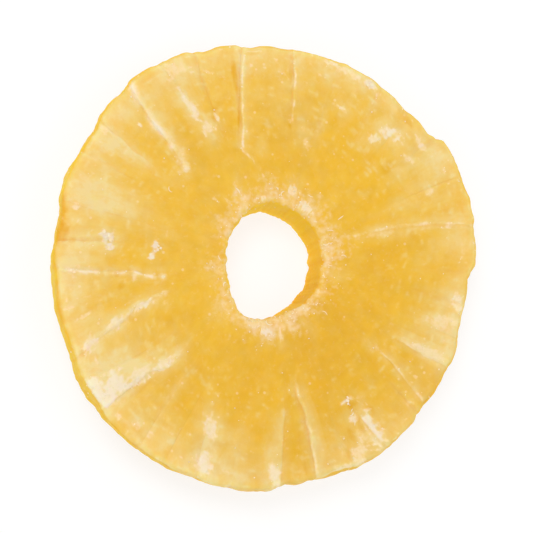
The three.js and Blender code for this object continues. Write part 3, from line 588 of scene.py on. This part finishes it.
class Nodes:                        # short calls for building a material's nodes
    def __init__(self, name):
        self.material = bpy.data.materials.new(name)
        self.material.use_nodes = True
        self.tree = self.material.node_tree
        self.shader = self.tree.nodes["Principled BSDF"]

    def add(self, kind, **settings):
        node = self.tree.nodes.new("ShaderNode" + kind)
        for key, value in settings.items():
            setattr(node, key, value)
        return node

    def put(self, value, socket):   # a number or colour is set, an output is linked
        if isinstance(value, bpy.types.NodeSocket):
            self.tree.links.new(value, socket)
        else:
            socket.default_value = value

    def attribute(self, name, output="Fac"):
        return self.add("Attribute", attribute_name=name).outputs[output]

    def math(self, operation, a, b=0.0, clamp=False):
        node = self.add("Math", operation=operation, use_clamp=clamp)
        self.put(a, node.inputs[0])
        self.put(b, node.inputs[1])
        return node.outputs[0]

    def noise(self, vector, scale, detail=3.0, rough=0.55):
        node = self.add("TexNoise")
        self.put(vector, node.inputs["Vector"])
        node.inputs["Scale"].default_value = scale
        node.inputs["Detail"].default_value = detail
        node.inputs["Roughness"].default_value = rough
        return node.outputs["Fac"]

    def dots(self, vector, scale, size, share):     # round specks in a share of the cells, 0 to 1
        node = self.add("TexVoronoi")
        self.put(vector, node.inputs["Vector"])
        node.inputs["Scale"].default_value = scale
        pick = self.add("SeparateColor")
        self.put(node.outputs["Color"], pick.inputs[0])
        near = self.ramp(node.outputs["Distance"], size, size * 0.5)
        return self.math("MULTIPLY", near, self.math("LESS_THAN", pick.outputs[0], share))

    def ramp(self, value, low, high, outLow=0.0, outHigh=1.0):
        node = self.add("MapRange", interpolation_type="SMOOTHSTEP")
        self.put(value, node.inputs["Value"])
        ends = {"From Min": low, "From Max": high, "To Min": outLow, "To Max": outHigh}
        for socket, number in ends.items():
            node.inputs[socket].default_value = number
        return node.outputs["Result"]

    def mix(self, share, a, b):
        node = self.add("Mix", data_type="RGBA")
        self.put(share, node.inputs[0])
        self.put(a, node.inputs[6])
        self.put(b, node.inputs[7])
        return node.outputs[2]

    def shaded(self, colour, much):     # the same colour, darker
        node = self.add("Mix", data_type="RGBA", blend_type="MULTIPLY")
        node.inputs[0].default_value = 1.0
        self.put(colour, node.inputs[6])
        self.put(much, node.inputs[7])
        return node.outputs[2]

    def bump(self, height, strength, distance):
        node = self.add("Bump")
        self.put(height, node.inputs["Height"])
        node.inputs["Strength"].default_value = strength
        node.inputs["Distance"].default_value = distance
        return node.outputs["Normal"]

    def set(self, **values):        # sockets of the main shader, by name with _ for a space
        for name, value in values.items():
            self.put(value, self.shader.inputs[name.replace("_", " ")])


def fleshMaterial():
    m = Nodes("candied flesh")
    place = m.add("TexCoord").outputs["Object"]
    grain = m.attribute("grain", "Vector")
    dust = m.noise(place, fleshLook["dust"], 3)                 # sugar dust, half a millimetre
    grit = m.noise(place, fleshLook["grit"], 3)
    mottle = m.noise(place, fleshLook["mottle"], 4, 0.62)       # cloudy flesh
    streaks = m.noise(grain, fleshLook["fibres"], 5, 0.6)       # fibres running to the hole
    milkyAndLit, sugar, crust = m.attribute("milkyAndLit"), m.attribute("sugar"), m.attribute("crust")

    tone = m.ramp(m.math("ADD", m.attribute("tone"), m.math("MULTIPLY", streaks, 0.25)), 0.35, 0.90)
    body = m.mix(tone, fleshLook["honey"], fleshLook["gold"])
    body = m.mix(m.attribute("wall"), body, fleshLook["rind"])
    # amber: the walls' deeper colour, and painted shade in grooves, hollows, along the top edge and on the
    # hole's shaded side
    body = m.mix(m.attribute("deepAndShade"), body, fleshLook["amber"])
    cloudy = m.ramp(m.math("ADD", mottle, m.math("MULTIPLY", streaks, 0.5)), 0.50, 1.00, 0.72, 1.22)
    haze = m.ramp(m.math("ADD", mottle, m.math("MULTIPLY", dust, 0.3)), 0.52, 0.90, 0.0, 0.13)
    veil = m.math("ADD", m.math("MULTIPLY", milkyAndLit, cloudy), haze, clamp=True)
    body = m.mix(veil, body, fleshLook["milk"])

    crusty = m.math("ADD", crust, m.math("MULTIPLY", m.math("SUBTRACT", grit, 0.5), 1.4))
    # random mottling, and painted shade on the side away from the light and on the hole's shaded wall
    body = m.mix(m.attribute("shade"), body, m.shaded(body, fleshLook["mottleAndShadeTint"]))
    rimDust = m.ramp(crusty, 0.08, 0.90, 0.0, 0.85)
    body = m.mix(rimDust, body, fleshLook["rim"])
    grainy = m.math("MULTIPLY", m.math("SUBTRACT", dust, 0.5), 0.6)
    frosty = m.ramp(m.math("ADD", sugar, grainy), 0.10, 0.90)
    specks = m.math("MULTIPLY", m.dots(place, fleshLook["specks"], 0.20, 0.16), 0.4)
    cover = m.math("MAXIMUM", frosty, specks)
    white = m.mix(m.ramp(sugar, 0.40, 0.85), fleshLook["cream"], fleshLook["frost"])
    body = m.mix(cover, body, white)

    cover = m.math("MAXIMUM", cover, rimDust)
    satin = m.math("ADD", fleshLook["rough"], m.math("MULTIPLY", veil, 0.10))
    satin = m.math("ADD", satin, m.math("MULTIPLY", m.attribute("wall"), fleshLook["wallRougher"]))
    rough = m.math("ADD", satin, m.math("MULTIPLY", cover, fleshLook["sugarRougher"]), clamp=True)
    grains = m.math("MULTIPLY", dust, m.math("ADD", 0.12, m.math("MULTIPLY", cover, 0.5)))
    relief = m.math("ADD", grains, m.math("MULTIPLY", streaks, 0.2))
    m.set(Base_Color=body, Roughness=rough, IOR=fleshLook["ior"],
          Normal=m.bump(relief, fleshLook["bump"], fleshLook["bumpHeight"]),
          Subsurface_Weight=fleshLook["scatter"], Subsurface_Scale=fleshLook["scatterDepth"],
          Subsurface_Radius=fleshLook["scatterSpread"], Specular_IOR_Level=fleshLook["gloss"],
          Specular_Tint=fleshLook["glossTint"])
    return m.material


def sugarMaterial(name):
    m = Nodes(name)
    place = m.add("TexCoord").outputs["Object"]
    shade = m.ramp(m.noise(place, 900, 2), 0.35, 0.65)
    m.set(Base_Color=m.mix(shade, sugarLook["dull"], sugarLook["bright"]), Roughness=sugarLook["rough"],
          IOR=sugarLook["ior"])
    return m.material


# sugar crumbs and dried threads, in millimetres

crumbs = {
    # how many lie loose, as coarser grains, on the crust, on the marks of sugar, and below
    "loose": 50, "grains": 7, "rim": 150, "bloom": 240, "under": 160,
    "small": 0.05, "large": 0.13, "seed": 7,
    # flakes that lie on the face: angle, share of the radius, spread in mm, how many
    "flakes": ((173.6, 0.757, 0.45, 4), (177.2, 0.742, 0.30, 2), (172.0, 0.785, 0.35, 2),
               (173.5, 0.532, 0.45, 2), (176.2, 0.520, 0.30, 2), (60.2, 0.972, 0.50, 4),
               (300.3, 0.722, 0.50, 4), (184.8, 0.902, 0.40, 2)),
    "flakeSize": (0.14, 0.30),
}
threads = {
    "rim": 18, "loose": 3, "long": (0.6, 1.3), "thick": (0.07, 0.12), "tip": 0.35, "bends": 5, "seed": 9,
    # rows of short hairs: from and to (angle, share of the radius), how many, their length, and their turn
    "fringes": (((222.4, 0.85), (226.2, 0.66), 5, 0.9, -84), ((299.9, 0.82), (301.3, 0.77), 4, 0.8, 150)),
}


def facesOf(ring):
    # spinning leaves the faces in another order each time: each one is started at its lowest vertex, and
    # they are sorted, so that the same random draws always give the same places
    mesh = ring.data
    spots, corners = np.empty(len(mesh.vertices) * 3), np.empty(len(mesh.polygons) * 4, int)
    mesh.vertices.foreach_get("co", spots)
    mesh.polygons.foreach_get("vertices", corners)
    spots, corners = spots.reshape(-1, 3), corners.reshape(-1, 4)
    corners = np.take_along_axis(corners, (corners.argmin(1)[:, None] + np.arange(4)) % 4, 1)
    corners = corners[np.lexsort(corners.T[::-1])]
    first, second, third, fourth = spots[corners].transpose(1, 0, 2)
    normal = np.cross(third - first, fourth - second)
    twiceArea = np.linalg.norm(normal, axis=1)
    return spots, normal / twiceArea[:, None], twiceArea / 2, corners


def faceMean(corners, values):      # a value that the vertices hold, as each face's mean
    return values[corners].mean(1)


def facingUp(corners, at):
    return smooth(faceMean(corners, at["top"]) * 2 - 0.9)


def crumbShape():                   # one crumb of sugar: a cube with its corners knocked off
    bpy.ops.object.select_all(action="DESELECT")
    bpy.ops.mesh.primitive_cube_add(size=2)
    crumb = bpy.context.object
    bpy.ops.object.mode_set(mode="EDIT")
    bpy.ops.mesh.select_all(action="SELECT")
    bpy.ops.mesh.bevel(offset=0.5, segments=1, affect="VERTICES")
    bpy.ops.object.mode_set(mode="OBJECT")
    return crumb


def threadShape():                  # one thread along +Z, 1 long, thin at both ends
    bpy.ops.object.select_all(action="DESELECT")
    bpy.ops.mesh.primitive_circle_add(vertices=5, radius=threads["tip"], fill_type="NGON")
    thread = bpy.context.object
    bends = threads["bends"]
    tip = threads["tip"]
    girths = [tip + (1 - tip) * math.sin(math.pi * k / bends) ** 0.6 for k in range(bends + 1)]
    for k in range(1, bends + 1):
        bpy.ops.object.mode_set(mode="EDIT")
        if k == 1:
            bpy.ops.mesh.select_all(action="SELECT")
        bpy.ops.mesh.extrude_region_move(TRANSFORM_OT_translate={"value": (0, 0, 1 / bends)})
        wider = girths[k] / girths[k - 1]
        bpy.ops.transform.resize(value=(wider, wider, 1), center_override=(0, 0, k / bends))
    bpy.ops.mesh.select_all(action="SELECT")
    bpy.ops.mesh.normals_make_consistent(inside=False)
    bpy.ops.object.mode_set(mode="OBJECT")
    return thread


def fromLowest(loop):               # a face's vertices, started at the lowest number
    first = loop.index(min(loop))
    return loop[first:] + loop[:first]


def joinCopies(shape, name, spots):
    # spots holds every copy's vertices; their faces are the shape's, over and over
    loops = sorted(fromLowest(list(p.vertices)) for p in shape.data.polygons)
    size = len(shape.data.vertices)
    faces = [[k * size + v for v in loop] for k in range(len(spots)) for loop in loops]
    joined = bpy.data.meshes.new(name)
    joined.from_pydata(np.reshape(spots, (-1, 3)), [], faces)
    joined.update()
    piece = bpy.data.objects.new(name, joined)
    bpy.context.collection.objects.link(piece)
    bpy.data.objects.remove(shape)
    return piece


def spotOf(at, angle, reached):     # x and y in metres, from an angle and a share of the radius
    radius = reached * ovalRadius(angle)
    return Vector(((radius * math.cos(math.radians(angle)) - at["middle"][0]) * mm,
                   (radius * math.sin(math.radians(angle)) - at["middle"][1]) * mm, 0))


def addCrumbs(ring, at, paint):
    rng = np.random.default_rng(crumbs["seed"])
    spots, normal, area, corners = facesOf(ring)
    centre = spots[corners].mean(1)
    up = facingUp(corners, at)
    under = smooth(faceMean(corners, at["under"]) * 2 - 0.9) * (centre[:, 2] > 0.1 * mm)
    wall = faceMean(corners, np.clip(at["wallOut"] + at["wallIn"], 0, 1))
    crust, sugar = faceMean(corners, paint["crust"]), faceMean(corners, paint["sugar"])
    sorts = [                       # how many, how likely each face is, and how large they are
        (crumbs["loose"], area * (0.08 + up) * (1 - 0.8 * wall), 1),
        (crumbs["grains"], area * up * (1 - wall), 1.6),
        (crumbs["rim"], area * crust ** 1.5 * up + 1e-16, 0.9),
        (crumbs["bloom"], area * sugar ** 2 + 1e-16, 0.9),
        (crumbs["under"], area * (under + 0.4 * wall) + 1e-16, 1),
    ]
    shape = crumbShape()
    corner = np.array([v.co[:] for v in shape.data.vertices])
    places = []
    for howMany, weight, scale in sorts:
        for k in rng.choice(len(area), howMany, p=weight / weight.sum()):
            size = scale * rng.uniform(crumbs["small"], crumbs["large"]) * mm
            turned = rng.uniform(0, 6.28)
            turn = np.array(Matrix.Rotation(turned, 3, Vector(rng.normal(size=3)).normalized()))
            squeeze = size * rng.uniform(0.6, 1.1, 3)
            spread = rng.dirichlet((1, 1, 1, 1)) @ spots[corners[k]]
            places.append((corner * squeeze) @ turn.T + spread + normal[k] * size * 0.1)
    for angle, reached, spread, howMany in crumbs["flakes"]:
        spot = np.array(spotOf(at, angle, reached))
        away = np.hypot(*(centre[:, :2] - spot[:2]).T) / mm
        weight = area * bell(away / spread) * (up > 0.5) + 1e-22
        for k in rng.choice(len(area), howMany, p=weight / weight.sum()):
            size = rng.uniform(*crumbs["flakeSize"], 3) * (1, 0.8, 0.35) * mm
            turn = np.array(Matrix.Rotation(rng.uniform(0, 6.28), 3, "Z"))
            places.append((corner * size) @ turn.T + centre[k] + normal[k] * size[2] * 0.4)
    places = np.array(places)
    places[:, :, 2] += np.maximum(0.01 * mm - places[:, :, 2].min(1), 0)[:, None]     # none below the table
    return joinCopies(shape, "sugar_crumbs", places)


def addThreads(ring, at, paint):
    rng = np.random.default_rng(threads["seed"])
    spots, _, area, corners = facesOf(ring)
    surface = BVHTree.FromPolygons(spots.tolist(), corners.tolist())
    up = facingUp(corners, at)
    crust, sugar = faceMean(corners, paint["crust"]), faceMean(corners, paint["sugar"])
    strands = []                    # where each starts, which way it goes, its length and its curl
    for howMany, weight in ((threads["rim"], area * crust ** 2 * up + 1e-16),
                            (threads["loose"], area * up * (0.1 + sugar))):
        for k in rng.choice(len(area), howMany, p=weight / weight.sum()):
            start = Vector(spots[corners[k]].mean(0))
            outward = math.atan2(start.y, start.x) + rng.normal(0, 0.8)
            strands.append((start, outward, rng.uniform(*threads["long"]) * mm, rng.normal(0, 0.8)))
    for first, last, howMany, length, turned in threads["fringes"]:
        a, b = spotOf(at, *first), spotOf(at, *last)
        along = math.atan2(b.y - a.y, b.x - a.x)
        for k in range(howMany):
            start = a.lerp(b, (k + rng.uniform(-0.25, 0.25)) / (howMany - 1))
            way = along + math.radians(turned) + rng.normal(0, 0.14)
            strands.append((start, way, length * rng.uniform(0.7, 1.25) * mm, rng.normal(0, 0.25)))
    shape = threadShape()
    corner = np.array([v.co[:] for v in shape.data.vertices])
    copies = []
    for start, way, length, curl in strands:
        girth = rng.uniform(*threads["thick"]) * mm
        path = []
        for k in range(threads["bends"] + 1):
            share = k / threads["bends"]
            bent = way + curl * (share - 0.5)
            spot = start + Vector((math.cos(bent), math.sin(bent), 0)) * length * share
            hit = surface.ray_cast(Vector((spot.x, spot.y, 0.02)), Vector((0, 0, -1)))[0]
            path.append((hit or path[-1]) + Vector((0, 0, girth * 0.25)))
        path = np.array(path)
        ahead = np.gradient(path, axis=0)
        ahead /= np.linalg.norm(ahead, axis=1)[:, None] + 1e-12
        across = np.cross(ahead, (0, 0, 1))
        across /= np.linalg.norm(across, axis=1)[:, None] + 1e-12
        above = np.cross(across, ahead)
        step = np.clip(np.round(corner[:, 2] * threads["bends"]).astype(int), 0, threads["bends"])
        sideways, upwards = across[step] * corner[:, :1], above[step] * corner[:, 1:2]
        copies.append(path[step] + sideways * girth + upwards * girth)
    return joinCopies(shape, "sugar_threads", copies)


def build():
    print("slice: section")
    ring, holeSide, outerSide = addSection()
    spinSection(ring)
    print("slice: shape", len(ring.data.vertices))
    at = shapeRing(ring, holeSide, outerSide)
    print("slice: paint")
    paint = paintRing(ring, at)
    ring.data.materials.clear()
    ring.data.materials.append(fleshMaterial())
    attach(ring, "root")
    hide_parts("pineapple_ring")
    for add, finish in ((addCrumbs, "sugar crumbs"), (addThreads, "sugar threads")):
        print(finish)
        piece = add(ring, at, paint)
        piece.data.materials.append(sugarMaterial(finish))
        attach(piece, "root")


# floor, light and camera

studio = {
    "floor": 3.0, "floorShade": 0.24, "floorGlow": 0.76, "sky": 0.55,
    "lens": 135, "fill": 0.84,                          # millimetres, and share of the frame's width
    "azimuth": -53, "elevation": 73.5,
    "lamps": (                                          # place from the slice's middle, size, watts
        ((-0.25, 0.32, 0.84), 0.50, 3.0),
        ((0.55, -0.10, 0.65), 0.60, 1.0),
        ((-0.35, -0.46, 0.69), 0.50, 1.0),
    ),
}


def addFloor():
    bpy.ops.object.select_all(action="DESELECT")
    bpy.ops.mesh.primitive_plane_add(size=studio["floor"], location=(0, 0, 0))
    floor = bpy.context.object
    floor.name = "floor"
    m = Nodes("floor")
    shade = studio["floorShade"]
    m.set(Base_Color=(shade, shade, shade, 1), Roughness=0.9, Emission_Color=(1, 1, 1, 1),
          Emission_Strength=studio["floorGlow"])
    floor.data.materials.append(m.material)


def addLight():
    world = bpy.data.worlds.new("studio")
    bpy.context.scene.world = world
    world.use_nodes = True
    sky = world.node_tree.nodes["Background"]
    sky.inputs["Color"].default_value = (1, 1, 1, 1)
    sky.inputs["Strength"].default_value = studio["sky"]
    for place, size, watts in studio["lamps"]:
        bpy.ops.object.light_add(type="AREA", location=place)
        lamp = bpy.context.object
        lamp.data.shape = "DISK"
        lamp.data.size = size
        lamp.data.energy = watts
        lamp.rotation_euler = Vector(place).to_track_quat("Z", "Y").to_euler()


def addCamera():
    # looks down on the slice from the lower left, turned so that +Y stays up in the picture
    middle = (Vector(cadBox[0]) + Vector(cadBox[1])) / 2
    width = cadBox[1][1] - cadBox[0][1]
    azimuth, elevation = math.radians(studio["azimuth"]), math.radians(studio["elevation"])
    back = Vector((math.sin(azimuth) * math.cos(elevation), -math.cos(azimuth) * math.cos(elevation),
                   math.sin(elevation)))
    across = Vector((0, 1, 0)).cross(back).normalized()
    up = back.cross(across)
    bpy.ops.object.camera_add()
    camera = bpy.context.object
    camera.data.lens = studio["lens"]
    camera.data.clip_start = 0.01
    distance = width / studio["fill"] / (camera.data.sensor_width / camera.data.lens)
    place = middle + back * distance
    camera.matrix_world = Matrix((
        (across.x, up.x, back.x, place.x), (across.y, up.y, back.y, place.y),
        (across.z, up.z, back.z, place.z), (0, 0, 0, 1)))
    bpy.context.scene.camera = camera


print("camera, floor and light")
addCamera()
addFloor()
addLight()
build()
bpy.context.scene.view_settings.view_transform = "Standard"
